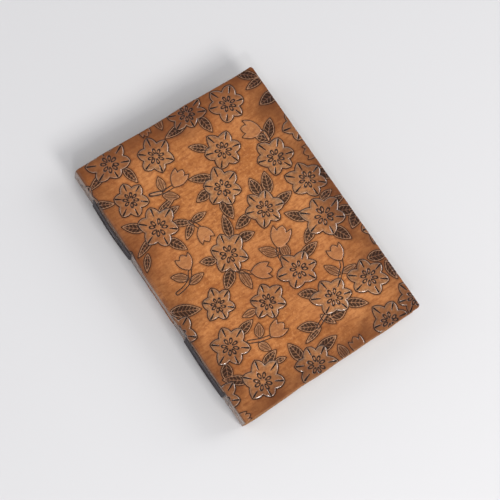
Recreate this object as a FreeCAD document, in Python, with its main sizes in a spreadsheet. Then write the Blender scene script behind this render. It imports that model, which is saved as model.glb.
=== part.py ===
"""Hand-bound journal in an embossed leather cover, long-stitched through its spine.

The journal lies closed on its back cover. The origin is at the bottom centre of the
whole object, +X runs from the spine to the fore-edge, +Y to the head and +Z up.
The leather is one wrap in the real object. It bends beside every gathering, so here it
is a back panel, a front panel and one spine strip for each gathering of pages.
"""
import FreeCAD, Part
import math
import os
import Sketcher

GATHERINGS = 4
SHEETS = 6

# Alias, value in millimetres, meaning.
DIMENSIONS = [
    ("cover_length", 178, "leather, head to tail"),
    ("spine_face", -63, "x of the leather's outer face at the spine"),
    ("fore_edge", 64, "x of the leather's fore-edge"),
    ("leather", 2, "thickness of the leather"),
    ("shoulder_radius", 1.8, "rounding where a panel turns into the spine"),
    ("corner_radius", 1.5, "rounding of a panel's two fore-edge corners"),
    ("gathering_pitch", 2.9, "height of one gathering at the spine"),
    ("page_length", 172, "paper, head to tail"),
    ("page_edge", 61, "x of the paper's fore-edge"),
    ("fold_gap", 0.05, "outermost fold to leather"),
    ("fold_radius", 1.4, "outer radius of the outermost sheet's fold"),
    ("sheet_pitch", 0.21, "one nested sheet to the next"),
    ("paper", 0.19, "thickness of one sheet"),
    ("hole_radius", 0.5, "sewing holes in leather and paper"),
    ("inner_station", 29, "y of the two middle sewing holes"),
    ("outer_station", 68.5, "y of the two end sewing holes"),
    ("cord_radius", 0.48, "waxed cord on the outside of the spine"),
    ("cord_gap", 0.04, "cord to leather"),
    ("leg_radius", 0.4, "cord where it is pulled through a hole"),
    ("flat_cord", 0.24, "cord pressed flat inside a gathering"),
    ("flat_width", 0.8, "width of the flat run"),
    ("flat_inset", 0.07, "how far the flat run sits into the fold"),
    ("knot_radius", 1, "knot pressed flat inside a gathering"),
]

# Places that several pieces share, as expressions on the sheet of dimensions.
HALF_COVER = "Sizes.cover_length / 2"
FOLD_CENTRE = "Sizes.spine_face + Sizes.leather + Sizes.fold_gap + Sizes.fold_radius"
CORD_CENTRE = "Sizes.spine_face - Sizes.cord_gap - Sizes.cord_radius"
STATIONS = {
    "head": "Sizes.outer_station",
    "upper": "Sizes.inner_station",
    "lower": "-Sizes.inner_station",
    "tail": "-Sizes.outer_station",
}
ORIGIN = FreeCAD.Vector(0, 0, 0)
UP = FreeCAD.Vector(0, 0, 1)
ALONG_X = FreeCAD.Rotation(FreeCAD.Vector(0, 1, 0), 90)
ALONG_Y = FreeCAD.Rotation(FreeCAD.Vector(1, 0, 0), -90)

doc = FreeCAD.newDocument("journal")
sheet = doc.addObject("Spreadsheet::Sheet", "Sizes")
for row, (alias, length, meaning) in enumerate(DIMENSIONS, start=1):
    sheet.set(f"A{row}", meaning)
    sheet.set(f"B{row}", str(length))
    sheet.setAlias(f"B{row}", alias)
doc.recompute()


# ------------------------------------------------------------------ heights and radii

def middle_height(k):
    """Height of gathering k's middle, with gatherings counted from 1 at the back."""
    return f"Sizes.leather + Sizes.gathering_pitch * ({k} - 0.5)"


def sheet_radius(i):
    """Outer fold radius of sheet i, with sheets counted from 1 outside."""
    return f"Sizes.fold_radius - Sizes.sheet_pitch * ({i} - 1)"


def number(expression):
    """Work out an expression on the sheet as a plain number."""
    return float(sheet.evalExpression(expression))


def place(piece, x="0", y="0", z="0", rotation=FreeCAD.Rotation()):
    """Put a piece where three expressions say."""
    piece.Placement = FreeCAD.Placement(ORIGIN, rotation)
    for axis, expression in (("x", x), ("y", y), ("z", z)):
        piece.setExpression(f"Placement.Base.{axis}", expression)


# ------------------------------------------------------------------ sketches and pads

def new_sketch(body, name, role):
    """Start a sketch on one of the body's own origin planes."""
    sketch = body.newObject("Sketcher::SketchObject", name)
    plane = next(item for item in body.Origin.OriginFeatures if item.Role == role)
    sketch.AttachmentSupport = [(plane, "")]
    sketch.MapMode = "FlatFace"
    return sketch


def bind(sketch, constraint, expression):
    """Add a dimension to a sketch and drive it from the sheet."""
    index = sketch.addConstraint(constraint)
    sketch.setExpression(f"Constraints[{index}]", expression)


def add_line(sketch, start, end):
    """Draw a line between two (x, y) points and keep it level or upright."""
    line = sketch.addGeometry(Part.LineSegment(FreeCAD.Vector(*start), FreeCAD.Vector(*end)))
    kind = "Horizontal" if start[1] == end[1] else "Vertical"
    sketch.addConstraint(Sketcher.Constraint(kind, line))
    return line


def add_rectangle(sketch, left, right, low, high):
    """Draw a rectangle whose sides lie at four expressions from the sketch's origin."""
    x0, x1, y0, y1 = (number(side) for side in (left, right, low, high))
    corners = [(x0, y0), (x1, y0), (x1, y1), (x0, y1)]
    lines = [add_line(sketch, a, b) for a, b in zip(corners, corners[1:] + corners[:1])]
    for here, following in zip(lines, lines[1:] + lines[:1]):
        sketch.addConstraint(Sketcher.Constraint("Coincident", here, 2, following, 1))
    bottom, top = lines[0], lines[2]
    bind_point(sketch, bottom, 1, left, low)
    bind_point(sketch, top, 1, right, high)


def bind_point(sketch, geometry, point, across, up):
    """Hold one point of a sketch's geometry at two expressions from the origin."""
    for kind, axis, expression in (("DistanceX", -2, across), ("DistanceY", -1, up)):
        distance = number(expression)
        if distance:
            constraint = Sketcher.Constraint(kind, -1, 1, geometry, point, distance)
            bind(sketch, constraint, expression)
        else:
            sketch.addConstraint(Sketcher.Constraint("PointOnObject", geometry, point, axis))


def add_hole(sketch, across, up):
    """Draw one sewing hole at a place given by two expressions."""
    centre = FreeCAD.Vector(number(across), number(up), 0)
    radius = size("hole_radius")
    circle = sketch.addGeometry(Part.Circle(centre, UP, radius))
    bind(sketch, Sketcher.Constraint("Radius", circle, radius), "Sizes.hole_radius")
    bind_point(sketch, circle, 3, across, up)


def size(alias):
    """Read one driving dimension."""
    return number(f"Sizes.{alias}")


def add_fold(sketch, outer, inner, reach):
    """Draw a sheet folded in two: two arcs about the origin and two arms along +X."""
    big, small, end = number(outer), number(inner), number(reach)
    quarter, three_quarters = math.pi / 2, 3 * math.pi / 2

    def add_arc(radius, expression):
        circle = Part.Circle(ORIGIN, UP, radius)
        arc = sketch.addGeometry(Part.ArcOfCircle(circle, quarter, three_quarters))
        sketch.addConstraint(Sketcher.Constraint("Coincident", arc, 3, -1, 1))
        bind(sketch, Sketcher.Constraint("Radius", arc, radius), expression)
        return arc

    outside = add_arc(big, outer)
    inside = add_arc(small, inner)
    for side, arc_end in ((1, 1), (-1, 2)):
        outer_line = add_line(sketch, (0, side * big), (end, side * big))
        edge_line = add_line(sketch, (end, side * big), (end, side * small))
        inner_line = add_line(sketch, (end, side * small), (0, side * small))
        sketch.addConstraint(Sketcher.Constraint("Tangent", outside, arc_end, outer_line, 1))
        sketch.addConstraint(Sketcher.Constraint("Coincident", outer_line, 2, edge_line, 1))
        sketch.addConstraint(Sketcher.Constraint("Coincident", edge_line, 2, inner_line, 1))
        sketch.addConstraint(Sketcher.Constraint("Tangent", inner_line, 2, inside, arc_end))
        bind(sketch, Sketcher.Constraint("DistanceX", -1, 1, edge_line, 1, end), reach)


def pad(body, sketch, length, symmetric=False):
    """Pad a sketch by an expression, one way or about its plane."""
    feature = body.newObject("PartDesign::Pad", f"{sketch.Name}_pad")
    feature.Profile = sketch
    feature.SideType = "Symmetric" if symmetric else "One side"
    feature.setExpression("Length", length)
    return feature


def fillet(body, base, edges, radius):
    """Round the named edges of the body's last feature."""
    feature = body.newObject("PartDesign::Fillet", f"{base.Name}_fillet")
    feature.Base = (base, edges)
    feature.setExpression("Radius", radius)
    doc.recompute()
    return feature


def edges_at(shape, x, z=None):
    """Names of the straight edges at x: upright ones, or those lying at height z."""
    names = []
    for index, edge in enumerate(shape.Edges, start=1):
        ends = [vertex.Point for vertex in edge.Vertexes]
        at_x = all(abs(end.x - x) < 1e-6 for end in ends)
        at_z = z is not None and all(abs(end.z - z) < 1e-6 for end in ends)
        upright = z is None and abs(ends[0].y - ends[-1].y) < 1e-6
        if at_x and (at_z or upright):
            names.append(f"Edge{index}")
    return names


# ------------------------------------------------------------------ the pieces

def make_panel(label, base_height, shoulder_height):
    """Cover panel from the spine's outer face to the fore-edge, shoulder rounded."""
    body = doc.addObject("PartDesign::Body", label)
    outline = new_sketch(body, f"{label}_outline", "XY_Plane")
    add_rectangle(outline, "Sizes.spine_face", "Sizes.fore_edge", f"-{HALF_COVER}", HALF_COVER)
    slab = pad(body, outline, "Sizes.leather")
    doc.recompute()
    corners = edges_at(slab.Shape, size("fore_edge"))
    rounded = fillet(body, slab, corners, "Sizes.corner_radius")
    shoulder = edges_at(rounded.Shape, size("spine_face"), shoulder_height)
    fillet(body, rounded, shoulder, "Sizes.shoulder_radius")
    place(body, z=base_height)
    return body


def make_spine_strip(k):
    """Stretch of the leather spine behind one gathering, with its four sewing holes."""
    body = doc.addObject("PartDesign::Body", f"spine_strip_{k}")
    outline = new_sketch(body, f"spine_outline_{k}", "YZ_Plane")
    add_rectangle(outline, f"-{HALF_COVER}", HALF_COVER, "0", "Sizes.gathering_pitch")
    for station in STATIONS.values():
        add_hole(outline, station, "Sizes.gathering_pitch / 2")
    pad(body, outline, "Sizes.leather")
    place(body, x="Sizes.spine_face", z=f"Sizes.leather + Sizes.gathering_pitch * ({k} - 1)")
    return body


def make_sheet(k, i):
    """Sheet of paper folded in two, nested in gathering k and pierced along its fold."""
    body = doc.addObject("PartDesign::Body", f"sheet_{k}_{i}")
    profile = new_sketch(body, f"fold_{k}_{i}", "XZ_Plane")
    radius = sheet_radius(i)
    add_fold(profile, radius, f"{radius} - Sizes.paper", f"Sizes.page_edge - ({FOLD_CENTRE})")
    pad(body, profile, "Sizes.page_length", symmetric=True)
    holes = new_sketch(body, f"holes_{k}_{i}", "YZ_Plane")
    for station in STATIONS.values():
        add_hole(holes, station, "0")
    pocket = body.newObject("PartDesign::Pocket", f"pierce_{k}_{i}")
    pocket.Profile = holes
    pocket.setExpression("Length", "Sizes.fold_radius + Sizes.fold_gap")
    place(body, x=FOLD_CENTRE, z=middle_height(k))
    return body


def make_thread(k):
    """Waxed cord of gathering k: two long stitches outside, a flat run and knots inside.

    The cord runs outside from each end hole to the next one, goes in there, and
    crosses the middle inside the gathering. Its two ends are knotted inside.
    """
    height = middle_height(k)
    label = f"thread_{k}"
    pieces = []

    def add(kind, name, x, y, z=height, rotation=FreeCAD.Rotation(), **sizes):
        piece = doc.addObject(kind, f"{name}_{k}")
        for key, expression in sizes.items():
            piece.setExpression(key, expression)
        place(piece, x, y, z, rotation)
        pieces.append(piece)

    reach = f"{FOLD_CENTRE} - ({CORD_CENTRE})"
    for name, station in STATIONS.items():
        add("Part::Sphere", f"bend_{name}", CORD_CENTRE, station, Radius="Sizes.cord_radius")
        add("Part::Cylinder", f"leg_{name}", CORD_CENTRE, station, rotation=ALONG_X,
            Radius="Sizes.leg_radius", Height=reach)
    for name, start in (("head", STATIONS["upper"]), ("tail", STATIONS["tail"])):
        add("Part::Cylinder", f"stitch_{name}", CORD_CENTRE, start, rotation=ALONG_Y,
            Radius="Sizes.cord_radius", Height="Sizes.outer_station - Sizes.inner_station")

    flat_base = f"{height} - Sizes.flat_cord / 2"
    add("Part::Box", "flat_run", f"{FOLD_CENTRE} - Sizes.flat_inset",
        "-Sizes.inner_station - Sizes.leg_radius", flat_base, Length="Sizes.flat_width",
        Width="2 * (Sizes.inner_station + Sizes.leg_radius)", Height="Sizes.flat_cord")
    for name in ("head", "tail"):
        add("Part::Cylinder", f"knot_{name}", f"{FOLD_CENTRE} - Sizes.flat_inset + Sizes.knot_radius",
            STATIONS[name], flat_base, Radius="Sizes.knot_radius", Height="Sizes.flat_cord")

    thread = doc.addObject("Part::MultiFuse", label)
    thread.Shapes = pieces
    return thread


def make_journal():
    """Build every piece, from the back cover up."""
    block = f"Sizes.gathering_pitch * {GATHERINGS}"
    nodes = [make_panel("back_cover", "0", 0)]
    for k in range(1, GATHERINGS + 1):
        nodes.append(make_spine_strip(k))
        nodes += [make_sheet(k, i) for i in range(1, SHEETS + 1)]
        nodes.append(make_thread(k))
    nodes.append(make_panel("front_cover", f"Sizes.leather + {block}", size("leather")))
    return nodes


def check(nodes):
    """Stop if any object failed to build, or a piece isn't one valid solid."""
    for item in doc.Objects:
        if "Invalid" in item.State or "Error" in item.State:
            raise RuntimeError(f"{item.Name} failed: {item.State}")
        if item.isDerivedFrom("Sketcher::SketchObject") and item.solve() != 0:
            raise RuntimeError(f"{item.Name} is not solved")
    for node in nodes:
        shape = node.Shape
        if shape.isNull() or not shape.isValid() or len(shape.Solids) != 1:
            raise RuntimeError(f"{node.Label} is not one valid solid")


nodes = make_journal()
doc.recompute()
check(nodes)
os.makedirs("parts", exist_ok=True)
for node in nodes:
    node.Shape.exportStep(f"parts/{node.Label}.step")
whole = Part.makeCompound([node.Shape for node in nodes]).BoundBox
print(len(nodes), "pieces, box", whole)
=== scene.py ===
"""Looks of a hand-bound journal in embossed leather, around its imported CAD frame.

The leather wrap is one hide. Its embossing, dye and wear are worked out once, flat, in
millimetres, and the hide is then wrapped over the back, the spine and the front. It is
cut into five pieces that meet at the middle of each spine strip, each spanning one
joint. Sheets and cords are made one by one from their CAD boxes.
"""
import math
import bpy
import numpy as np
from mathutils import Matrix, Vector


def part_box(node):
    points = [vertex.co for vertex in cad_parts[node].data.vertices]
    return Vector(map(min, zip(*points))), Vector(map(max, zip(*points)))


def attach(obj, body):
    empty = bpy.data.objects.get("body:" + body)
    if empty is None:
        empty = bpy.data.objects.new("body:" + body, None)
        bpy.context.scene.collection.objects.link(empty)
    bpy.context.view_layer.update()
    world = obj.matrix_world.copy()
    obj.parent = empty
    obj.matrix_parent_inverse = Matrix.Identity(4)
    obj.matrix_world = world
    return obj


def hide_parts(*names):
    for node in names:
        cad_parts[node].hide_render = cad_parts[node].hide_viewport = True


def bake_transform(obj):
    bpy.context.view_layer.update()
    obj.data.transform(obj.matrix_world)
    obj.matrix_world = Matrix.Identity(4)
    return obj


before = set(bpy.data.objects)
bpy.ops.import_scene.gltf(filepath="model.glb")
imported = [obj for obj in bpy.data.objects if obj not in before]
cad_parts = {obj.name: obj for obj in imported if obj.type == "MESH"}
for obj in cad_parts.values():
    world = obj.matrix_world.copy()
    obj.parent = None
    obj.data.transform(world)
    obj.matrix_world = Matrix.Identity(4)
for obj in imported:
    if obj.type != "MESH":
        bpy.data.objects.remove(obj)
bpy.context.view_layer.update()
MM = 0.001


# ---------------- sizes, from the frame

def box_mm(node):
    """A node's lowest and highest corners, in millimetres."""
    return [[value / MM for value in corner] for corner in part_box(node)]


GATHERINGS = sum(name.startswith("spine_strip_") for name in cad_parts)
SHEETS = sum(name.startswith("sheet_1_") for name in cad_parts)
(SPINE_X, TAIL_Y, _), (FORE_X, HEAD_Y, LEATHER) = box_mm("back_cover")
HEIGHT = box_mm("front_cover")[1][2]
STRIPS = [box_mm(f"spine_strip_{k}") for k in range(1, GATHERINGS + 1)]
STRIP_MIDDLES = [(low[2] + high[2]) / 2 for low, high in STRIPS]
SHOULDER = 2.4          # outer radius where a panel turns into the spine
HOLES = (68.5, 29.0, -29.0, -68.5)      # the needle holes' places along the spine


def add_object(name, data):
    thing = bpy.data.objects.new(name, data)
    bpy.context.collection.objects.link(thing)
    return thing


# ---------------- camera, light, floor

CAMERA_PLACE = (-0.2155, -0.1150, 0.7726)
CAMERA_TARGET = (-0.0029, -0.0062, HEIGHT * MM)
CAMERA_ROLL = math.radians(29.46)
LENS = 97.2             # millimetres, as is the sensor
SENSOR = 36
WHITE = (1, 1, 1)
# Name, place, side in metres, watts and colour of each square light.
LIGHTS = (
    ("key", (0.12, -1.33, 0.96), 0.50, 18.6, (1.0, 0.99, 0.965)),
    ("fill", (1.6, -0.3, 0.8), 0.9, 14, WHITE),
    ("bounce", (-1.1, 0.9, 0.60), 0.9, 5, WHITE),
    ("glint", (-0.48, -0.82, 1.00), 0.15, 3.2, WHITE),
)
# Brightness of the studio at heights from its horizon (0) to overhead (1).
DOME = ((0.0, 0.42), (0.25, 1.0), (0.50, 0.95), (0.95, 0.08))
DOME_COLOUR = (1.0976, 1.1032, 1.12, 1)
FLOOR_COLOUR = (0.583, 0.579, 0.592, 1)
FLOOR_REACH = 4.0
FLOOR_DROP = 0.0002     # keeps the floor clear of the back cover's lowest relief


def aim(thing, target, roll=0.0):
    """Point a camera or light at a target, then roll it about its own axis."""
    way = Vector(target) - thing.location
    thing.rotation_euler = way.to_track_quat("-Z", "Y").to_matrix().to_euler()
    thing.rotation_euler.rotate_axis("Z", roll)


def add_camera():
    data = bpy.data.cameras.new("camera")
    data.lens = LENS
    data.sensor_width = SENSOR
    data.clip_end = 10
    camera = add_object("camera", data)
    camera.location = CAMERA_PLACE
    aim(camera, CAMERA_TARGET, CAMERA_ROLL)
    bpy.context.scene.camera = camera


def add_light(name, place, side, watts, colour):
    """Square light that faces the middle of the floor."""
    data = bpy.data.lights.new(name, "AREA")
    data.shape = "SQUARE"
    data.size = side
    data.energy = watts
    data.color = colour
    light = add_object(name, data)
    light.location = place
    aim(light, (0, 0, 0))


def add_floor():
    mesh = bpy.data.meshes.new("floor")
    corners = [(x * FLOOR_REACH, y * FLOOR_REACH, 0) for x, y in ((-1, -1), (1, -1), (1, 1), (-1, 1))]
    mesh.from_pydata(corners, [], [(0, 1, 2, 3)])
    floor = add_object("floor", mesh)
    material = bpy.data.materials.new("floor_white")
    material.use_nodes = True
    shader = material.node_tree.nodes["Principled BSDF"]
    shader.inputs["Base Color"].default_value = FLOOR_COLOUR
    shader.inputs["Roughness"].default_value = 0.9
    shader.inputs["Specular IOR Level"].default_value = 0.2
    mesh.materials.append(material)
    floor.location = (0, 0, -FLOOR_DROP)


def add_studio():
    """Dome that is brightest above its horizon and dark overhead, and the lights."""
    scene = bpy.context.scene
    scene.view_settings.view_transform = "Standard"
    world = bpy.data.worlds.new("studio")
    world.use_nodes = True
    tree = world.node_tree
    background = tree.nodes["Background"]
    where = tree.nodes.new("ShaderNodeTexCoord")
    split = tree.nodes.new("ShaderNodeSeparateXYZ")
    tree.links.new(where.outputs["Generated"], split.inputs[0])
    ramp = tree.nodes.new("ShaderNodeValToRGB")
    tree.links.new(split.outputs["Z"], ramp.inputs["Fac"])
    stops = ramp.color_ramp.elements
    stops[0].position, stops[1].position = DOME[0][0], DOME[-1][0]
    for position, _ in DOME[1:-1]:
        stops.new(position)
    for stop, (_, level) in zip(stops, DOME):
        stop.color = (level, level, level, 1)
    tree.links.new(ramp.outputs["Color"], background.inputs["Strength"])
    background.inputs["Color"].default_value = DOME_COLOUR
    scene.world = world
    for light in LIGHTS:
        add_light(*light)


add_camera()
add_studio()
add_floor()


# ---------------- the flat hide

GRID = 0.25             # millimetres between samples of the hide
FAR = 2.5               # distances are kept up to this many millimetres
WALL_TOP = 0.50         # a motif's wall starts this far inside its outline,
WALL_FOOT = 0.15        # ends this far outside it,
SLOPE_END = 1.8         # and the ground around it comes up again this far out
SUNK_TOP = 0.24         # a sunk detail's wall starts this far outside its line
SUNK_FOOT = 0.16        # and ends this far inside it
PETALS = 6
SEEDS = 8
# Depth pressed around a motif, height raised inside it, and how dark its lines are dyed.
FLOWER_PRESS = (0.28, 0.15, 1.0)
LEAF_PRESS = (0.20, 0.08, 0.90)
BLADE_PRESS = (0.14, 0.04, 0.60)
TULIP_PRESS = (0.22, 0.12, 0.3)
# Corners of a tulip's cup, along it and across it, and the bulge of each side between them.
CUP_CORNERS = ((0, 0), (0.88, 0.5), (0.70, 0.26), (0.93, 0.02), (0.70, -0.22), (0.85, -0.48))
CUP_BULGES = (0.19, -0.02, 0.16, 0.14, -0.02, 0.19)
CUP_WIDTH = 0.80


class Hide:
    """The flat hide: relief, distances to what is pressed into it, and its dyeing.

    All in millimetres. Distances are negative inside a motif, so that the material can
    draw lines finer than the mesh: "bloom" to the flowers, "foliage" to leaves, stems
    and tulips, and "mark" to the sunk details of both.
    """

    def __init__(self, left, right, low, high):
        self.left, self.low = left, low
        self.x = np.arange(left, right + GRID / 2, GRID)
        self.y = np.arange(low, high + GRID / 2, GRID)
        shape = (len(self.y), len(self.x))
        self.height, self.tone, self.worn = np.zeros((3, *shape))
        self.bloom, self.foliage, self.mark = np.full((3, *shape), FAR)

    def window(self, points, margin=3.0):
        """Index and coordinates of the samples around some points."""
        spans = []
        for axis, start, count in ((0, self.left, len(self.x)), (1, self.low, len(self.y))):
            low = (points[:, axis].min() - margin - start) / GRID
            high = (points[:, axis].max() + margin - start) / GRID
            spans.append(slice(*np.clip((low, high), 0, count).astype(int)))
        x, y = np.meshgrid(self.x[spans[0]], self.y[spans[1]])
        return (spans[1], spans[0]), x, y

    def read(self, layer, x, y):
        """Values of one layer at any coordinates, interpolated between samples."""
        col = np.clip((x - self.left) / GRID, 0, len(self.x) - 1.001)
        row = np.clip((y - self.low) / GRID, 0, len(self.y) - 1.001)
        i, j = col.astype(int), row.astype(int)
        u, v = col - i, row - j
        low = layer[j, i] * (1 - u) + layer[j, i + 1] * u
        high = layer[j + 1, i] * (1 - u) + layer[j + 1, i + 1] * u
        return low * (1 - v) + high * v


def fade(value, start, end):
    """Smooth step from 0 at start to 1 at end."""
    t = np.clip((value - start) / (end - start), 0, 1)
    return t * t * (3 - 2 * t)


def ripple(x, y, wavelength, seed, waves=14):
    """Smooth noise between about -1 and 1: waves of nearly one length, every way."""
    rng = np.random.default_rng(seed)
    total = 0
    for _ in range(waves):
        angle, phase = rng.uniform(0, 2 * math.pi, 2)
        k = 2 * math.pi / wavelength * rng.uniform(0.7, 1.5)
        total = total + np.sin(k * (x * math.cos(angle) + y * math.sin(angle)) + phase)
    return total / math.sqrt(waves) / 1.4


def line_distance(points, x, y, closed=False):
    """Distance to a polyline, or to a closed outline and negative inside it."""
    best = np.full(x.shape, 1e9)
    inside = np.zeros(x.shape, bool)
    ends = np.roll(points, -1, axis=0) if closed else points[1:]
    for (ax, ay), (bx, by) in zip(points, ends):
        dx, dy = bx - ax, by - ay
        t = np.clip(((x - ax) * dx + (y - ay) * dy) / (dx * dx + dy * dy + 1e-12), 0, 1)
        best = np.minimum(best, (x - ax - t * dx) ** 2 + (y - ay - t * dy) ** 2)
        if dy:
            inside ^= ((ay > y) != (by > y)) & (x < ax + (y - ay) * dx / dy)
    best = np.sqrt(best)
    return np.where(inside, -best, best) if closed else best


def curve(start, end, bulge, steps=7):
    """Points from start up to, not including, end, bulging to the right of the way."""
    start, end = np.asarray(start, float), np.asarray(end, float)
    way = end - start
    control = (start + end) / 2 + 2 * bulge * np.array([way[1], -way[0]])
    t = np.linspace(0, 1, steps, endpoint=False)[:, None]
    return (1 - t) ** 2 * start + 2 * t * (1 - t) * control + t ** 2 * end


def outline_through(corners, bulges):
    """Closed outline through corners, with one bulge for each side."""
    ends = corners[1:] + corners[:1]
    return np.concatenate([curve(a, b, k) for a, b, k in zip(corners, ends, bulges)])


def press(hide, layer, outline, depth, raised, tone):
    """Emboss an outline: a steep wall along it and a soft slope outside."""
    at, x, y = hide.window(outline)
    d = line_distance(outline, x, y, closed=True)
    inside = d < WALL_FOOT
    inner = raised - (raised + depth) * np.clip((d + WALL_TOP) / (WALL_TOP + WALL_FOOT), 0, 1)
    outer = -depth * (1 - fade(d, WALL_FOOT, SLOPE_END))
    hide.height[at] = np.where(inside, inner, np.minimum(hide.height[at], outer))
    layer[at] = np.clip(np.minimum(layer[at], d), -FAR, FAR)
    hide.mark[at] = np.clip(np.maximum(hide.mark[at], 0.1 - d), -FAR, FAR)
    hide.tone[at][d < 0.3] = tone
    return at, x, y, d


def sink(hide, at, distance, depth):
    """Sink a detail whose signed distance is given."""
    hide.height[at] -= depth * fade(distance, SUNK_TOP, -SUNK_FOOT)
    hide.mark[at] = np.clip(np.minimum(hide.mark[at], distance), -FAR, FAR)


def flower(hide, centre, tips, rng):
    """Pointed petals, a slot in each of them and a ring of seeds."""
    centre = np.array(centre, float)
    arms = np.array(tips, float) - centre
    arms = arms[np.argsort(np.arctan2(arms[:, 1], arms[:, 0]))]
    angles = np.arctan2(arms[:, 1], arms[:, 0])
    lengths = np.hypot(*arms.T)
    following = np.roll(angles, -1)
    following[-1] += 2 * math.pi
    between = (angles + following) / 2
    reach = rng.uniform(0.65, 0.72, PETALS) * (lengths + np.roll(lengths, -1)) / 2
    valleys = centre + reach[:, None] * np.column_stack([np.cos(between), np.sin(between)])
    corners, bulges = [], []
    for tip, valley in zip(centre + arms, valleys):
        corners += [tuple(tip), tuple(valley)]
        bulges += list(rng.uniform(0.08, 0.19, 2))
    outline = outline_through(corners, bulges)
    at, x, y, d = press(hide, hide.bloom, outline, *FLOWER_PRESS)
    dx, dy = x - centre[0], y - centre[1]
    for arm in arms:
        slot = centre + np.outer([0.56, 0.93], arm)
        spread = np.hypot(dx, dy) / np.hypot(*arm)
        half_width = 0.22 + 0.24 * fade(spread, 0.5, 0.85)
        sink(hide, at, line_distance(slot, x, y) - half_width, 0.30)
    turn = rng.uniform(0, 2 * math.pi)
    size = lengths.mean()
    long, wide = 0.130 * size, 0.066 * size
    for k in range(SEEDS):
        angle = turn + k * 2 * math.pi / SEEDS + rng.normal(0, 0.06)
        along = (dx * math.cos(angle) + dy * math.sin(angle)) - 0.295 * size
        across = dy * math.cos(angle) - dx * math.sin(angle)
        taper = np.clip(1 + 0.20 * along / long, 0.5, 1.5)
        ring = np.hypot(along / long, across / (wide * taper)) - 1
        sink(hide, at, 0.85 * wide * np.abs(ring) - 0.19, 0.26)


def leaf(hide, base, tip, width, coarse):
    """Pointed leaf: sunk cells between a midrib and side veins, or fine long veins."""
    base, way = np.array(base, float), np.subtract(tip, base)
    length = np.hypot(*way)
    side = np.array([-way[1], way[0]]) / length
    t = np.linspace(0, 1, 14)
    half = 0.41 * width * np.sin(math.pi * t ** 0.85) ** 0.85
    spine = base + np.outer(t, way)
    offset = np.outer(half, side)
    outline = np.concatenate([spine - offset, (spine + offset)[-2:0:-1]])
    at, x, y, d = press(hide, hide.foliage, outline, *(LEAF_PRESS if coarse else BLADE_PRESS))
    x, y = x - base[0], y - base[1]
    along = (x * way[0] + y * way[1]) / length
    across = x * side[0] + y * side[1]
    if coarse:
        step = np.abs(np.mod(along - 0.75 * np.abs(across), 2.25) - 1.125)
        cell = np.maximum(np.maximum(d + 0.48, 0.24 - np.abs(across)), 0.8 * (step - 0.88))
        sink(hide, at, cell, 0.26)
    else:
        stripe = np.abs(np.mod(across, 1.3) - 0.65) - 0.38
        sink(hide, at, np.maximum(d + 0.42, stripe), 0.16)


def stem(hide, points):
    """Curved stalk between two fine lines."""
    points = np.array(points, float)
    at, x, y = hide.window(points)
    distance = line_distance(points, x, y)
    hide.tone[at][distance < 1.5] = 0.90
    hide.mark[at][distance < 1.0] = FAR
    sink(hide, at, np.abs(distance - 0.95) - 0.28, 0.20)


def tulip(hide, base, tip, width):
    """Cup with a rounded middle petal between two pointed ones."""
    base, way = np.array(base, float), np.subtract(tip, base)
    side = np.array([way[1], -way[0]]) / np.hypot(*way) * width * CUP_WIDTH
    corners = [tuple(base + a * way + b * side) for a, b in CUP_CORNERS]
    press(hide, hide.foliage, outline_through(corners, CUP_BULGES), *TULIP_PRESS)


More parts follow.
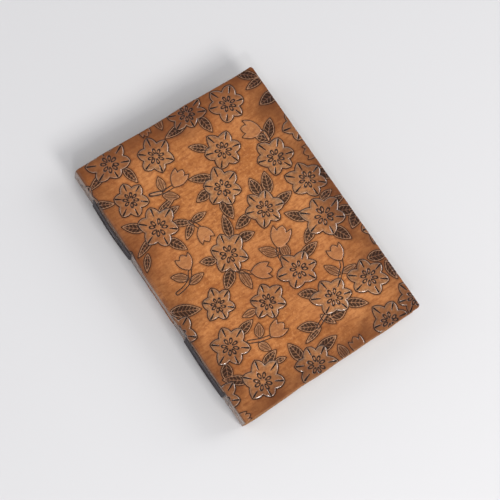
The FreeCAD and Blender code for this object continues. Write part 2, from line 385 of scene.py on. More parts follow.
# Centre of each flower, then the tips of its six petals, on the front panel.
FLOWERS = [
    ((-44, 81.5), (-57, 87.5), (-55, 76), (-44, 72), (-32.5, 77), (-31.5, 88), (-44, 92)),
    ((-45.5, 56.5), (-44, 67), (-36, 61.5), (-37, 50), (-47, 46), (-55, 50.5), (-53.5, 62)),
    ((-41, 34), (-38.5, 46.5), (-28.5, 40), (-31.5, 27), (-42, 22), (-52, 29), (-50, 42)),
    ((-18, 71.5), (-16.5, 84), (-7.5, 77), (-10, 64), (-20, 61), (-28, 67.5), (-26.5, 78)),
    ((12.5, 84), (1.5, 88.5), (2, 79), (12, 75), (24, 79.5), (24, 88), (13, 95)),
    ((37.5, 76.5), (32.5, 88), (45.5, 86), (47.5, 74.5), (41, 66.5), (30.5, 67), (26, 79.5)),
    ((18.5, 53.5), (15, 65.5), (27, 62.5), (29.5, 51.5), (22.5, 43), (11, 44.5), (7.5, 56.5)),
    ((5, 34), (7.5, 47.5), (16.5, 38.5), (13.5, 27), (4, 23), (-5.5, 29), (-4, 41)),
    ((43, 33), (38.5, 45.5), (51.5, 42.5), (54.5, 30.5), (48, 23.5), (36.5, 24), (32, 36)),
    ((19, 10), (15, 22), (26, 19.5), (31, 7), (23, 0), (12, 0.5), (7.5, 13.5)),
    ((51.5, 11.5), (52.5, 23), (41, 20.5), (40.5, 8.5), (51.5, 0), (60.5, 3.5), (62, 15)),
    ((-15, -1.5), (-12.5, 11), (-3, 4.5), (-6.5, -9.5), (-15.5, -13), (-24.5, -8), (-22.5, 6)),
    ((-37.5, -23.5), (-35.5, -13), (-27.5, -19.5), (-30, -30), (-38, -32.5), (-46.5, -28.5), (-44.5, -17.5)),
    ((47, -12.5), (47, -0.5), (60, -8), (57.5, -20), (45.5, -25), (34, -16.5), (35, -3)),
    ((15, -31.5), (10.5, -19.5), (24, -24), (26.5, -33), (20.5, -41.5), (6.5, -39.5), (1.5, -28.5)),
    ((-12, -37.5), (-9.5, -27), (0, -34), (-3.5, -44.5), (-13.5, -47.5), (-21.5, -42.5), (-20, -31.5)),
    ((23, -56.5), (21.5, -44.5), (33, -49.5), (34, -59.5), (26, -66.5), (13, -62), (10, -50)),
    ((48, -58), (49.5, -46.5), (59, -55), (57.5, -65.5), (47.5, -69.5), (36.5, -60.5), (37.5, -50)),
    ((-45.5, -47.5), (-43.5, -36), (-54.5, -40.5), (-56.5, -52.5), (-47, -58.5), (-36, -54.5), (-34, -42.5)),
    ((-41, -74.5), (-38, -62), (-49.5, -66), (-51.5, -79.5), (-41.5, -84.5), (-30, -81), (-27.5, -69.5)),
    ((-9, -83.5), (-8, -72.5), (-20.5, -78), (-21, -88), (-9, -95), (3, -88.5), (1.5, -77)),
    ((43, -86), (39, -74), (51.5, -78), (54.5, -88), (47, -97), (37, -96), (32.5, -84.5)),
    ((64.5, -83), (61, -71.5), (54, -80), (56, -89), (66, -95), (75, -86), (72, -74)),
    ((-67, -25), (-56.5, -19.5), (-58.5, -32.5), (-68, -36), (-77, -30), (-75, -18), (-65, -14)),
    ((-67.5, -71), (-55.5, -65.5), (-58, -76), (-68, -82), (-78, -76), (-77, -65), (-68, -60)),
    ((68.5, 42.5), (56.5, 44.5), (61, 35), (71, 31), (79, 40), (77, 50), (66, 54)),
    ((71, -34), (61.5, -32.5), (63, -43), (72, -46), (81, -38), (79, -28), (69, -23)),
]
# Base, tip and width of each leaf.
LEAVES = [
    ((-48, 79), (-63, 74), 5.5), ((-38.5, 76), (-36, 63.5), 6), ((-68, 66), (-54.5, 59.5), 6),
    ((-48, 37), (-59, 45.5), 7), ((-46, 31.5), (-61, 25), 5), ((-55, 24), (-61.5, 15), 4.5),
    ((-41, 26), (-34, 14), 7), ((-37, 41), (-22.5, 44.5), 4.5), ((-34, 38), (-23.5, 38.5), 5),
    ((-33, 32), (-22.5, 26), 5), ((-22.5, 26.5), (-12, 27), 5), ((-22.5, 26), (-31, 19), 5),
    ((4, 42.5), (-9.5, 49), 6.5), ((-2, 37), (-13, 35), 7), ((0.5, 29), (-0.5, 15), 8.5),
    ((-8.5, 5), (-4, 20.5), 7), ((10, 12), (-2.5, 9), 7), ((-6, 3), (5.5, 1.5), 7),
    ((11.5, 58.5), (2, 66), 6), ((10, 79.5), (-7, 78), 6.5), ((18, 79), (19.5, 66.5), 7),
    ((53, 90), (64, 81), 7), ((66, 79.5), (52.5, 78.5), 5.5), ((69, 67.5), (54, 66), 9),
    ((45.5, 45), (54.5, 55.5), 8), ((46, 44), (40, 51), 6), ((-18, -9.5), (-28.5, -18.5), 8),
    ((-23, -1), (-32, 3.5), 6), ((-64, -12), (-47, -20), 9), ((25, 8.5), (39, 10.5), 7.5),
    ((21.5, 18), (22, 30.5), 8), ((27, 16.5), (32, 29.5), 8), ((38, -9), (27.5, 1.5), 7.5),
    ((38, -14), (27.5, -20.5), 7), ((46, -20), (53, -33), 9), ((51, -3), (60.5, -1.5), 5.5),
    ((54, -8.5), (65, -8.5), 5.5), ((54, -13.5), (67, -20), 8), ((67, -20), (57, -28), 9),
    ((20, -26), (34, -23.5), 7), ((17, -50), (6, -43.5), 7), ((-38, -44.5), (-25.5, -41.5), 6.5),
    ((-53, -54), (-58, -64.5), 8), ((-47, -70), (-60, -61), 7), ((-36, -67.5), (-24, -63.5), 6.5),
    ((-29, -69), (-21.5, -70.5), 4), ((-14, -78), (-16, -64.5), 8), ((-5, -78), (11, -76), 8),
    ((6, -66), (-6, -60), 7.5), ((6, -67), (-7, -70), 4), ((10, -61), (15, -70), 5),
    ((14, -65), (25, -66.5), 9), ((26, -62), (38.5, -70.5), 7), ((54, -48), (67, -52), 8),
    ((62.5, -55), (62, -68), 7), ((58, 14), (68, 4), 9),
]
# Finer leaves beside the tulips.
BLADES = [
    ((-26, 51), (-24, 60), 6), ((-28, 49), (-20, 43), 6), ((-27, 50.5), (-34.5, 53.5), 2.5),
    ((-43, -1), (-51.5, 5), 6), ((-44.5, -4), (-34, -3), 5.5),
    ((-15, -13.5), (-15, -26), 6.5), ((10, -17.5), (2, -8.5), 7), ((15.5, -13), (14, -22.5), 7),
    ((34.5, -47), (29, -38), 6), ((36, -47), (46, -47.5), 4.5), ((-28, -52.5), (-23.5, -45), 6.5),
    ((-30.5, -55), (-26.5, -62), 6), ((-20, -38), (-29.5, -37), 5), ((9, -91), (8.5, -81), 7),
    ((-5, 93), (-5.5, 83.5), 6),
]
# Points along each stem.
STEMS = [
    ((-19, 50.5), (-26, 50.5), (-34, 53)),
    ((-39.3, 3.3), (-42.2, -0.8), (-45.3, -3.4), (-49.5, -4.6), (-53.5, -5)),
    ((-20, 20), (-21, 23), (-23, 27)), ((45, 52), (46.5, 49), (46, 44)),
    ((-10, -18), (-13, -15), (-16, -13)), ((12.5, -13), (10.5, -16), (9.5, -21)),
    ((40, -40), (38, -44), (33, -48.5)), ((-21.5, -55.5), (-28, -54), (-35, -51)),
    ((5, -66), (9, -64), (14, -62)),
]
# Base, tip and width of each tulip's cup.
TULIPS = [
    ((-19.5, 50), (-8.5, 56.5), 11), ((-39.5, 3), (-39.5, 13.5), 11.5),
    ((-20.5, 21.5), (-20, 10.5), 11), ((45.5, 51.5), (34.5, 59.5), 13.5),
    ((-10, -17.5), (2.5, -23), 11), ((12, -14), (22.5, -3.5), 14),
    ((40, -40.5), (40, -29.5), 12), ((-22, -55.5), (-10.5, -52.5), 11.5),
    ((18.5, -93), (18.5, -81.5), 10.5), ((-15, 94.5), (-15, 84), 7),
    ((69, 24), (58.5, 26), 11), ((-69, -86), (-57, -86), 6),
]


def emboss_panel(hide, rng, turn, shift):
    """Press the whole pattern, as it is or turned half round, at a shift along the hide."""
    def put(point):
        return (turn * point[0] + shift, turn * point[1])

    for base, tip, width in LEAVES:
        leaf(hide, put(base), put(tip), width, coarse=True)
    for base, tip, width in BLADES:
        leaf(hide, put(base), put(tip), width, coarse=False)
    for points in STEMS:
        stem(hide, [put(point) for point in points])
    for base, tip, width in TULIPS:
        tulip(hide, put(base), put(tip), width)
    for centre, *tips in FLOWERS:
        flower(hide, put(centre), [put(tip) for tip in tips], rng)


# ---------------- wrapping the hide

# Places along the flat hide, measured so that the front panel keeps its own x.
FRONT_TURN = SPINE_X + SHOULDER
SPINE_TOP = FRONT_TURN - SHOULDER * math.pi / 2
SPINE_FOOT = SPINE_TOP - (HEIGHT - 2 * SHOULDER)
BACK_TURN = SPINE_FOOT - SHOULDER * math.pi / 2
BACK_END = BACK_TURN - (FORE_X - FRONT_TURN)
SPINE_MIDDLE = (FRONT_TURN + BACK_TURN) / 2
SPINE_HALF = (FRONT_TURN - BACK_TURN) / 2
CORNER = 1.8            # rounding of the fore-edge corners
MARGIN = 0.5            # the samples go this far past the hide's edges
HOLE_RADIUS = 0.6
STEP = 0.29      # millimetres between points of the grain side
KEEP = 190000           # most triangles in one piece
RIM_ROWS = (0.22, 0.5, 0.78, 1.0)       # shares of the leather's thickness
FLESH_STEP = 10         # fine cells along each side of a coarse one on the flesh side
BEND_REACH = 8          # the flesh side is finer this far from a piece's ends


def flat_place(z):
    """Place along the flat hide of a height on the spine."""
    return SPINE_TOP - (HEIGHT - SHOULDER - z)


def wrap(s):
    """Outer face and outward normal, in the XZ plane, at places along the hide."""
    top = np.clip((FRONT_TURN - s) / SHOULDER, 0, math.pi / 2)
    foot = np.clip((SPINE_FOOT - s) / SHOULDER, 0, math.pi / 2)
    angle = top + foot
    nx, nz = -np.sin(angle), np.cos(angle)
    centre_z = HEIGHT - SHOULDER - np.clip(SPINE_TOP - s, 0, SPINE_TOP - SPINE_FOOT)
    run = np.maximum(s - FRONT_TURN, 0) + np.maximum(BACK_TURN - s, 0)
    return FRONT_TURN + SHOULDER * nx + run, centre_z + SHOULDER * nz, nx, nz


def round_corners(s, y):
    """Pull the samples of each fore-edge corner into a quarter circle."""
    for end, way in ((FORE_X, 1), (BACK_END, -1)):
        a = np.clip(1 - (end - s) * way / CORNER, 0, 1)
        b = np.clip(1 - (HEAD_Y - np.abs(y)) / CORNER, 0, 1)
        s = s + way * CORNER * a * (np.sqrt(1 - b * b / 2) - 1)
        y = y + np.sign(y) * CORNER * b * (np.sqrt(1 - a * a / 2) - 1)
    return s, y


def place_on_hide(s, y, height, depth):
    """Points in metres of samples at a relief height, some depth under the face."""
    s, y = round_corners(s, y)
    near = fade(np.abs(y), 60, HEAD_Y)
    y = y + np.sign(y) * near * 0.32 * ripple(s, 40 * np.sign(y), 34, 11)
    x, z, nx, nz = wrap(s)
    out = height - depth
    return np.stack([x + nx * out, y, z + nz * out + front_lift(s, y)], axis=-1) * MM


def front_lift(s, y):
    """How far the front panel's fore-edge corners stand off the pages."""
    corner = fade(s, 25, FORE_X) * (0.25 + 0.75 * fade(np.abs(y - 12), 45, 95))
    return 0.55 * corner * (0.7 + 0.3 * ripple(s, y, 70, 21))


def edge_distance(s, y):
    """How far places on the flat hide are from its nearest edge."""
    return np.minimum(np.minimum(FORE_X - s, s - BACK_END), HEAD_Y - np.abs(y))


def make_hide():
    """The flat hide with its pattern, ground texture, sewing holes and edge wear."""
    hide = Hide(BACK_END - MARGIN, FORE_X + MARGIN, TAIL_Y - MARGIN, HEAD_Y + MARGIN)
    x, y = np.meshgrid(hide.x, hide.y)
    middles = (FRONT_TURN + FORE_X) / 2 + (BACK_TURN + BACK_END) / 2
    emboss_panel(hide, np.random.default_rng(9), -1, middles)
    spine = fade(x, BACK_TURN - 1, BACK_TURN + 1) * fade(x, FRONT_TURN + 1, FRONT_TURN - 1)
    hide.height *= 1 - 0.55 * spine
    emboss_panel(hide, np.random.default_rng(4), 1, 0)
    hide.height *= 1 - 0.35 * spine
    hide.height += 0.035 * ripple(x, y, 9, 1) + 0.02 * ripple(x, y, 3.2, 2)
    hide.height += 0.10 * spine * ripple(x * 6, y * 0.35, 9, 3)
    for z in STRIP_MIDDLES:
        for hole in HOLES:
            distance = np.hypot(x - flat_place(z), y - hole)
            hide.height -= 0.5 * np.exp(-(distance / 0.8) ** 2)
            hide.mark = np.minimum(hide.mark, distance - HOLE_RADIUS)
            hide.tone[distance < 2 * HOLE_RADIUS] = 1
    edge = edge_distance(x, y)
    hide.height -= 0.20 * (1 - fade(edge, -0.1, 0.42))
    front_shoulder, back_shoulder = (FRONT_TURN + SPINE_TOP) / 2, (BACK_TURN + SPINE_FOOT) / 2
    turned = np.minimum(np.abs(x - front_shoulder), np.abs(x - back_shoulder))
    blotch = 5 * ripple(x, y, 38, 5) + 3 * ripple(x, y, 13, 6)
    rim = np.minimum(edge, turned + 3)
    hide.worn = 1 - fade(rim + blotch, -1, 26)
    return hide


def add_mesh(name, points, polygons, counts):
    """Object from an array of points and a flat list of polygon corners."""
    mesh = bpy.data.meshes.new(name)
    mesh.vertices.add(len(points))
    mesh.vertices.foreach_set("co", np.asarray(points, np.float32).ravel())
    counts = np.asarray(counts, np.int32)
    mesh.loops.add(int(counts.sum()))
    mesh.loops.foreach_set("vertex_index", np.asarray(polygons, np.int32))
    mesh.polygons.add(len(counts))
    starts = np.concatenate([[0], np.cumsum(counts)[:-1]])
    mesh.polygons.foreach_set("loop_start", starts.astype(np.int32))
    mesh.update(calc_edges=True)
    mesh.validate()
    return add_object(name, mesh)


def set_values(mesh, name, values):
    """Keep one value, or one vector, for each point of a mesh."""
    kind, key = ("FLOAT_VECTOR", "vector") if np.ndim(values) > 1 else ("FLOAT", "value")
    attribute = mesh.attributes.new(name, kind, "POINT")
    attribute.data.foreach_set(key, np.asarray(values, np.float32).ravel())


def finish_mesh(thing, material, sharp=50):
    """Smooth shading with sharp edges kept, and one material."""
    mesh = thing.data
    mesh.polygons.foreach_set("use_smooth", np.ones(len(mesh.polygons), bool))
    mesh.set_sharp_from_angle(angle=math.radians(sharp))
    mesh.materials.append(material)


def grid_quads(index):
    """The four corners of each cell in a grid of point numbers."""
    return np.stack([index[:-1, :-1], index[:-1, 1:], index[1:, 1:], index[1:, :-1]], -1).reshape(-1, 4)


def grid_border(index):
    """The point numbers round the edge of a grid, in the same turn as its cells."""
    return np.concatenate([index[0, :-1], index[:-1, -1], index[-1, :0:-1], index[:0:-1, 0]])


def ring_quads(ring, following):
    """The cells between one closed ring of point numbers and the next."""
    return np.stack([ring, following, np.roll(following, -1), np.roll(ring, -1)], -1)


def coarse_steps(count, dense=()):
    """Indices from 0 to count: every coarse step, and every second one in dense spans."""
    chosen = set(range(0, count + 1, FLESH_STEP)) | {0, count}
    for low, high in dense:
        chosen |= set(range(max(low, 0), min(high, count) + 1, 2))
    return sorted(chosen)


def flesh_cells(index, chosen_cols, chosen_rows):
    """Corners of a grid's coarse cells, facing down, and how many each has: more on the rim."""
    corners, sizes = [], []
    for j0, j1 in zip(chosen_rows, chosen_rows[1:]):
        for i0, i1 in zip(chosen_cols, chosen_cols[1:]):
            low = range(i0, i1) if j0 == 0 else (i0,)
            right = range(j0, j1) if i1 == chosen_cols[-1] else (j0,)
            high = range(i1, i0, -1) if j1 == chosen_rows[-1] else (i1,)
            left = range(j1, j0, -1) if i0 == 0 else (j1,)
            cell = [*index[j0, low], *index[right, i1], *index[j1, high], *index[left, i0]]
            corners += reversed(cell)
            sizes.append(len(cell))
    return np.array(corners), np.array(sizes)


def leather_piece(name, hide, start, end):
    """Closed piece of the wrapped hide between two places along it.

    The face is a fine grid with the relief in it. A rim of four rows goes round its
    edge, and the flesh side is a coarse grid whose outer cells take in the fine rim.
    """
    cols = int(round((end - start) / STEP))
    rows = int(round((HEAD_Y - TAIL_Y) / STEP))
    s, y = np.meshgrid(np.linspace(start, end, cols + 1), np.linspace(TAIL_Y, HEAD_Y, rows + 1))
    height = hide.read(hide.height, s, y)
    layers = [np.stack([s, y, height, np.zeros_like(s)], -1).reshape(-1, 4)]

    index = np.arange((cols + 1) * (rows + 1)).reshape(rows + 1, cols + 1)
    quads = grid_quads(index)
    polygons, counts = [quads.ravel()], [[4] * len(quads)]

    ring = grid_border(index)
    ring_points = layers[0][ring]
    total = len(layers[0])
    previous = ring
    outward = rim_direction(ring_points)
    for share in RIM_ROWS:
        row = ring_points.copy()
        row[:, 2] *= 1 - share
        row[:, 3] = share * LEATHER
        uneven = 0.05 * ripple(row[:, 0], row[:, 1] + 9 * share, 2.1, 31)
        bulge = 0.16 * math.sin(math.pi * share) + uneven
        row[:, :2] += outward * (bulge * (share < 1))[:, None]
        layers.append(row)
        current = total + np.arange(len(ring))
        total += len(ring)
        polygons.append(ring_quads(previous, current).ravel())
        counts.append([4] * len(ring))
        previous = current

    bend = int(BEND_REACH / STEP)
    bends = ((0, bend), (cols - bend, cols)) if cols > 4 * FLESH_STEP else ((0, cols),)
    chosen_cols, chosen_rows = coarse_steps(cols, bends), coarse_steps(rows)
    middle = index[np.ix_(chosen_rows[1:-1], chosen_cols[1:-1])].ravel()
    flesh = layers[0][middle]
    flesh[:, 2:] = 0, LEATHER
    layers.append(flesh)
    below = np.zeros(index.size, int)
    below[ring] = previous
    below[middle] = total + np.arange(len(middle))
    corners, sizes = flesh_cells(index, chosen_cols, chosen_rows)
    polygons.append(below[corners])
    counts.append(sizes)

    data = np.concatenate(layers)
    s, y, height, depth = data.T
    counts = np.concatenate(counts)
    thing = add_mesh(name, place_on_hide(s, y, height, depth), np.concatenate(polygons), counts)
    mesh = thing.data
    for layer in ("bloom", "foliage", "mark", "tone", "worn"):
        set_values(mesh, layer, hide.read(getattr(hide, layer), s, y))
    bare = 0.35 * fade(edge_distance(s, y), 0.50, 0.10)
    set_values(mesh, "flesh", np.maximum(bare, fade(depth / LEATHER, 0.05, 1)))
    set_values(mesh, "flat", data[:, [0, 1, 3]] * MM)
    triangles = int(np.sum(counts - 2))
    if triangles > KEEP:
        inland = (depth == 0) & (s > start) & (s < end) & (np.abs(y) < HEAD_Y)
        straight = fade(np.abs(s - SPINE_MIDDLE), SPINE_HALF + 4, SPINE_HALF + 8)
        thin(thing, KEEP / triangles, inland * (0.55 + 0.45 * straight))
    return thing


def rim_direction(ring_points):
    """Which way is out of the hide, on its flat, at each point of its edge."""
    s, y = ring_points[:, 0], ring_points[:, 1]
    across = np.zeros_like(s)
    across[np.isclose(s, FORE_X)] = 1
    across[np.isclose(s, BACK_END)] = -1
    along = np.where(np.isclose(np.abs(y), HEAD_Y), np.sign(y), 0)
    return np.stack([across, along], -1)


def thin(thing, share, freely):
    """Keep a share of a mesh's triangles, thinning it where it is flat and free to go."""
    group = thing.vertex_groups.new(name="freely")
    freely = np.round(freely, 1)
    for weight in np.unique(freely[freely > 0]):
        group.add(np.flatnonzero(freely == weight).tolist(), float(weight), "REPLACE")
    modifier = thing.modifiers.new("thin", "DECIMATE")
    modifier.ratio = share
    modifier.vertex_group = group.name
    modifier.vertex_group_factor = 20
    graph = bpy.context.evaluated_depsgraph_get()
    mesh = bpy.data.meshes.new_from_object(thing.evaluated_get(graph))
    thing.modifiers.remove(modifier)
    thing.data = mesh
    thing.vertex_groups.clear()


# ---------------- materials

class Nodes:
    """Short ways to build one material's node tree."""

    def __init__(self, name):
        self.material = bpy.data.materials.new(name)
        self.material.use_nodes = True
        self.tree = self.material.node_tree
        self.shader = self.tree.nodes["Principled BSDF"]

    def node(self, kind, inputs=None, **settings):
        """A new node, its settings, and what goes into its sockets."""
        made = self.tree.nodes.new(kind)
        for key, value in settings.items():
            setattr(made, key, value)
        for key, value in (inputs or {}).items():
            if isinstance(value, (int, float, tuple)):
                made.inputs[key].default_value = value
            else:
                self.link(value, made.inputs[key])
        return made

    def link(self, output, target):
        self.tree.links.new(output, target)

    def attribute(self, name, output="Fac"):
        return self.node("ShaderNodeAttribute", attribute_name=name).outputs[output]

    def noise(self, where, scale, detail=3.0, roughness=0.55):
        inputs = {"Vector": where, "Scale": scale, "Detail": detail, "Roughness": roughness}
        return self.node("ShaderNodeTexNoise", inputs).outputs["Fac"]

    def cells(self, where, scale, feature="F1"):
        inputs = {"Vector": where, "Scale": scale}
        return self.node("ShaderNodeTexVoronoi", inputs, feature=feature).outputs["Distance"]

    def scaled(self, where, x, y, z):
        inputs = {0: where, 1: (x, y, z)}
        return self.node("ShaderNodeVectorMath", inputs, operation="MULTIPLY").outputs[0]

    def remap(self, value, low, high, new_low, new_high):
        """Smooth step of a value from one range to another, held at its ends."""
        inputs = {"Value": value, "From Min": low, "From Max": high,
                  "To Min": new_low, "To Max": new_high}
        return self.node("ShaderNodeMapRange", inputs, interpolation_type="SMOOTHSTEP").outputs["Result"]

    def band(self, value, middle, width):
        """1 at the middle of a band, fading to 0 at its width on either side."""
        away = self.maths("ABSOLUTE", self.maths("SUBTRACT", value, middle))
        return self.remap(away, width, 0, 0, 1)

    def maths(self, operation, a, b=0):
        return self.node("ShaderNodeMath", {0: a, 1: b}, operation=operation).outputs[0]

    def times(self, a, b):
        return self.maths("MULTIPLY", a, b)

    def greater(self, a, b):
        return self.maths("MAXIMUM", a, b)

    def mix(self, share, a, b):
        """From colour a to colour b, which are sockets 6 and 7 of the node."""
        a, b = ((*colour, 1) if isinstance(colour, tuple) else colour for colour in (a, b))
        return self.node("ShaderNodeMix", {0: share, 6: a, 7: b}, data_type="RGBA").outputs[2]

    def bump(self, height, distance, strength=1.0, under=None):
        inputs = {"Strength": strength, "Distance": distance, "Height": height}
        if under is not None:
            inputs["Normal"] = under
        return self.node("ShaderNodeBump", inputs).outputs["Normal"]

    def finish(self, colour, roughness, normal):
        self.link(colour, self.shader.inputs["Base Color"])
        self.link(roughness, self.shader.inputs["Roughness"])
        self.link(normal, self.shader.inputs["Normal"])
        return self.material


# Colours of the leather. A pair is the two ends of a mottled range.
TAN = (0.335, 0.114, 0.028), (0.508, 0.204, 0.066)
DARK_STREAK = (0.215, 0.062, 0.017)
LIGHT_FLECK = (0.62, 0.27, 0.095)
DARK_FLECK = (0.20, 0.060, 0.018)
# Greyer tint of the petals: partly their own paler, worn colour, partly a painted reflection of the bright
# studio on their domed rims.
PETAL_TINT_AND_REFLECTION = (0.145, 0.082, 0.044), (0.33, 0.175, 0.082)
LEAF_TINT = (0.27, 0.140, 0.075)
STAIN = (0.245, 0.070, 0.018)
HEAD_TINT = (0.235, 0.068, 0.019)
WORN_EDGE = (0.105, 0.031, 0.009)
# Spine colours: partly rubbed, darkened leather, partly a painted reflection of the white floor that the
# spine faces at a glancing angle.
SPINE_RUBBED_AND_REFLECTION = (0.070, 0.043, 0.030), (0.225, 0.162, 0.125)
# Painted shade: a thin dark line where the top face turns down over the spine's shoulder.
SPINE_BORDER_SHADE = (0.060, 0.022, 0.010)
# Dark band round the motifs: partly dye gathered on the pressed slope, partly painted shade beside the
# raised relief.
DYE_AND_SHADE_HALO = (0.095, 0.027, 0.008)
# Lighter rims of leaves and tulips: partly rubbed high spots, partly a painted highlight for the light
# caught by their walls.
LEAF_RIM_RUB_AND_HIGHLIGHT = (0.52, 0.31, 0.18)
# Light line inside the petal outlines: partly rubbed high spots, partly a painted highlight for the light
# caught by the petal walls.
PETAL_RIM_RUB_AND_HIGHLIGHT = (0.58, 0.39, 0.25)
DYE = (0.0140, 0.0046, 0.0018)
SUEDE = (0.20, 0.095, 0.040), (0.33, 0.17, 0.078)


def leather_material():
    """Tan hide: mottled and waxed, dark in the pressed lines, along the edges and spine.
    Its colour also holds painted shade round the motifs and along the spine's shoulder, a painted
    reflection on the petals and the spine, and painted highlights on the rims of petals and leaves.

    The distances kept in the mesh place the dye and the finest part of the relief.
    """
    n = Nodes("leather_embossed")
    where = n.attribute("flat", "Vector")
    bloom, foliage = n.attribute("bloom"), n.attribute("foliage")
    mark, tone, worn = n.attribute("mark"), n.attribute("tone"), n.attribute("worn")
    flesh = n.attribute("flesh")

    cloud = n.noise(where, 38, 5, 0.6)
    fleck = n.noise(where, 520, 4, 0.7)
    streak = n.noise(n.scaled(where, 1, 3.4, 1), 150, 6, 0.70)
    place = n.node("ShaderNodeSeparateXYZ", {0: where})
    from_spine = n.maths("ABSOLUTE", n.maths("SUBTRACT", place.outputs["X"], SPINE_MIDDLE * MM))
    along = n.maths("ABSOLUTE", place.outputs["Y"])
    from_spine = n.maths("ADD", from_spine, n.remap(along, 26 * MM, 16 * MM, 0, 3.4 * MM))
    spine_edge = SPINE_HALF - 2.3
    on_spine = n.remap(from_spine, spine_edge * MM, (spine_edge - 1) * MM, 0, 1)
    border = n.band(from_spine, spine_edge * MM, 0.55 * MM)
    crease = n.noise(n.scaled(where, 14, 0.5, 1), 90, 4, 0.6)
    ground = n.mix(n.remap(cloud, 0.32, 0.68, 0, 1), *TAN)
    ground = n.mix(n.remap(streak, 0.42, 0.66, 0, 0.72), ground, DARK_STREAK)
    ground = n.mix(n.remap(fleck, 0.50, 0.66, 0, 0.40), ground, LIGHT_FLECK)
    ground = n.mix(n.remap(fleck, 0.44, 0.32, 0, 0.45), ground, DARK_FLECK)

    in_petal = n.remap(bloom, -0.15, -0.5, 0, 1)
    # Petals are tinted greyer, most just inside their outline: partly worn colour, partly painted reflection
    # on the curved rims.
    on_rim = n.remap(bloom, -0.5, -2.3, 0.82, 0.38)
    raised = n.mix(n.remap(fleck, 0.35, 0.66, 0, 1), *PETAL_TINT_AND_REFLECTION)
    in_leaf = n.times(n.remap(foliage, -0.1, -0.4, 0, 1), n.remap(tone, 0.3, 0.9, 0.30, 0.60))
    colour = n.mix(in_leaf, ground, LEAF_TINT)
    colour = n.mix(n.times(in_petal, on_rim), colour, raised)
    stain = n.noise(where, 16, 3, 0.5)
    colour = n.mix(n.remap(stain, 0.44, 0.66, 0, 0.34), colour, STAIN)
    toward_head = n.remap(place.outputs["Y"], (HEAD_Y - 28) * MM, HEAD_Y * MM, 0, 0.50)
    colour = n.mix(toward_head, colour, HEAD_TINT)
    dark_edge = n.times(worn, n.remap(cloud, 0.25, 0.75, 0.95, 0.62))
    colour = n.mix(dark_edge, colour, WORN_EDGE)

    # The spine is painted greyer: partly rubbed wear, partly painted reflection of the white floor beside
    # it.
    rubbed_and_reflection = n.mix(n.remap(crease, 0.35, 0.65, 0, 1), *SPINE_RUBBED_AND_REFLECTION)
    colour = n.mix(n.times(on_spine, 0.75), colour, rubbed_and_reflection)
    # Painted shade line along the start of the spine's shoulder.
    colour = n.mix(n.times(border, 0.6), colour, SPINE_BORDER_SHADE)

    open_ground = n.remap(bloom, -0.1, 0.1, 0, 1)
    outside = n.maths("MINIMUM", bloom, foliage)
    # Dark band outside every motif: partly dye on the pressed slope, partly painted shade beside the relief.
    dye_and_shade_halo = n.times(n.remap(outside, 0.0, 1.9, 0.72, 0), n.remap(outside, -0.1, 0.05, 0, 1))
    dye_and_shade_halo = n.times(dye_and_shade_halo, n.remap(streak, 0.3, 0.7, 1, 0.60))
    colour = n.mix(dye_and_shade_halo, colour, DYE_AND_SHADE_HALO)
    bloom_line = n.band(bloom, 0.26, 0.62)
    foliage_line = n.times(n.times(n.band(foliage, 0.21, 0.50), open_ground), 0.92)
    sunk = n.remap(mark, 0.18, -0.10, 0, 1)
    # Leaf and tulip rims painted lighter: partly rubbed wear, partly painted highlight.
    leaf_rim_rub_and_highlight = n.times(n.band(foliage, -0.30, 0.28), open_ground)
    leaf_rim_rub_and_highlight = n.times(leaf_rim_rub_and_highlight, n.remap(tone, 0.3, 0.8, 0.12, 0.45))
    colour = n.mix(leaf_rim_rub_and_highlight, colour, LEAF_RIM_RUB_AND_HIGHLIGHT)
    # Petal rims painted lighter: partly rubbed wear, partly painted highlight.
    petal_rim_rub_and_highlight = n.times(n.band(bloom, -0.17, 0.15), n.remap(cloud, 0.36, 0.62, 0.05, 0.55))
    colour = n.mix(petal_rim_rub_and_highlight, colour, PETAL_RIM_RUB_AND_HIGHLIGHT)
    dye = n.greater(n.greater(bloom_line, foliage_line), n.times(sunk, tone))
    colour = n.mix(dye, colour, DYE)

    suede = n.mix(n.remap(n.noise(where, 900, 5, 0.7), 0.3, 0.7, 0, 1), *SUEDE)
    edge = n.times(flesh, n.remap(flesh, 0.9, 1.0, 0.55, 1))
    colour = n.mix(edge, colour, suede)

    rough = n.remap(fleck, 0.3, 0.7, 0.50, 0.64)
    rough = n.maths("ADD", rough, n.times(flesh, 0.4))
    grain = n.cells(where, 1500, "SMOOTH_F1")
    pores = n.noise(where, 2600, 2)
    relief = n.maths("ADD", n.times(grain, 0.7), n.times(pores, 0.5))
    relief = n.maths("ADD", relief, n.times(streak, 0.8))
    relief = n.maths("ADD", relief, n.times(n.times(crease, on_spine), 2.5))
    lines = n.maths("ADD", n.greater(bloom_line, foliage_line), sunk)
    lines = n.times(lines, n.remap(flesh, 0.1, 0.4, -1, 0))
    normal = n.bump(lines, 0.00022, 1.0, n.bump(relief, 0.00010, 0.6))
    wall = n.greater(n.band(bloom, -0.2, 0.5), n.band(foliage, -0.2, 0.4))
    wall = n.greater(wall, n.times(n.band(mark, 0.12, 0.28), 0.9))
    wax = n.greater(n.greater(n.remap(dye, 0, 1, 0.12, 0.03), wall), on_spine)
    n.link(n.times(wax, n.remap(flesh, 0.1, 0.3, 1, 0.1)), n.shader.inputs["Coat Weight"])
    for key, value in (("Specular IOR Level", 0.15), ("Coat Roughness", 0.22), ("Coat IOR", 1.7)):
        n.shader.inputs[key].default_value = value
    return n.finish(colour, rough, normal)


